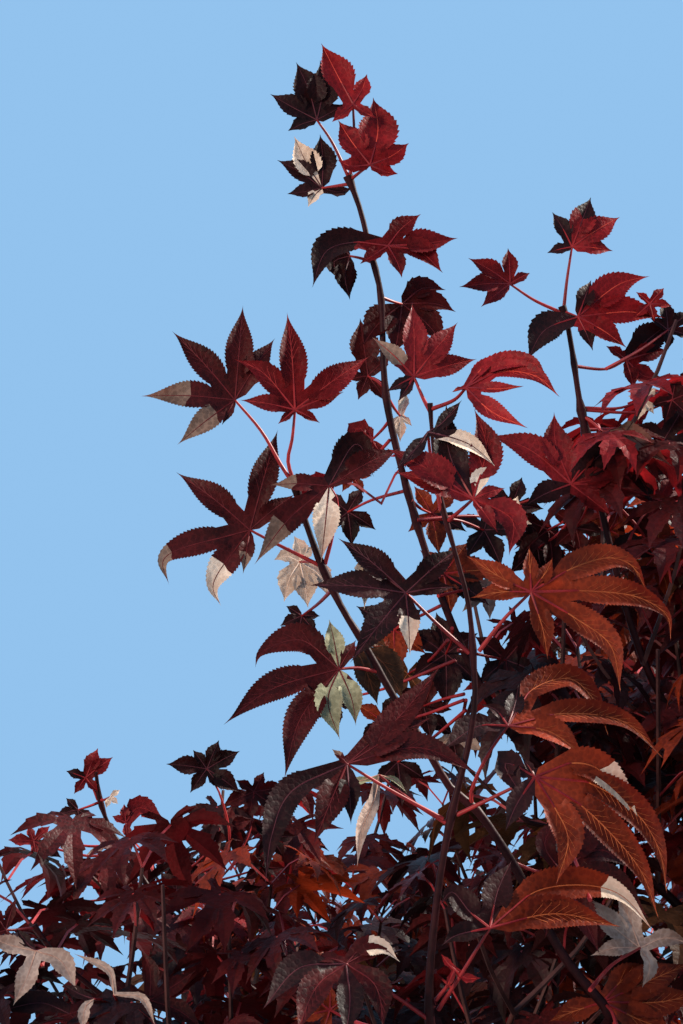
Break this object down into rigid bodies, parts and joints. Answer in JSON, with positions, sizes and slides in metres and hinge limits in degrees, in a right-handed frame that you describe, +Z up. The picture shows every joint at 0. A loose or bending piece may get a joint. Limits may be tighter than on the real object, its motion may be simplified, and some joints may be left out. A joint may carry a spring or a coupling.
{
  "type": "potted japanese maple",
  "caption": "Young red-leaved Japanese maple in a plain terracotta pot, with a forked trunk, boughs and a full crown.",
  "frame": {"origin": "middle of the pot's flat underside, at mount pot_base", "axes": "+Z up the trunk, +Y away from the front of the plant, +X to its right"},
  "size_m": [1.2522, 1.2292, 1.82],
  "materials": {
    "terracotta": "matte",
    "potting_mix": "matte",
    "bark": "matte",
    "leaves": "satin"
  },
  "bodies": {
    "root": {"bough_low_1": "bark", "bough_low_2": "bark", "bough_low_3": "bark", "bough_low_4": "bark", "bough_low_5": "bark", "bough_middle_1": "bark", "bough_middle_2": "bark", "bough_middle_3": "bark", "bough_middle_4": "bark", "bough_middle_5": "bark", "bough_middle_6": "bark", "bough_top_1": "bark", "bough_upper_1": "bark", "bough_upper_2": "bark", "bough_upper_3": "bark", "bough_upper_4": "bark", "foliage_low_1": "leaves", "foliage_low_2": "leaves", "foliage_low_3": "leaves", "foliage_low_4": "leaves", "foliage_low_5": "leaves", "foliage_middle_1": "leaves", "foliage_middle_2": "leaves", "foliage_middle_3": "leaves", "foliage_middle_4": "leaves", "foliage_middle_5": "leaves", "foliage_middle_6": "leaves", "foliage_top_1": "leaves", "foliage_upper_1": "leaves", "foliage_upper_2": "leaves", "foliage_upper_3": "leaves", "foliage_upper_4": "leaves", "pot": "terracotta", "shoot_back": "leaves", "shoot_back_left": "leaves", "shoot_behind_front": "leaves", "shoot_front": "leaves", "shoot_front_right": "leaves", "shoot_highest": "leaves", "shoot_left": "leaves", "shoot_low_left": "leaves", "shoot_right": "leaves", "soil": "potting_mix", "trunk": "bark"}
  },
  "joints": []
}
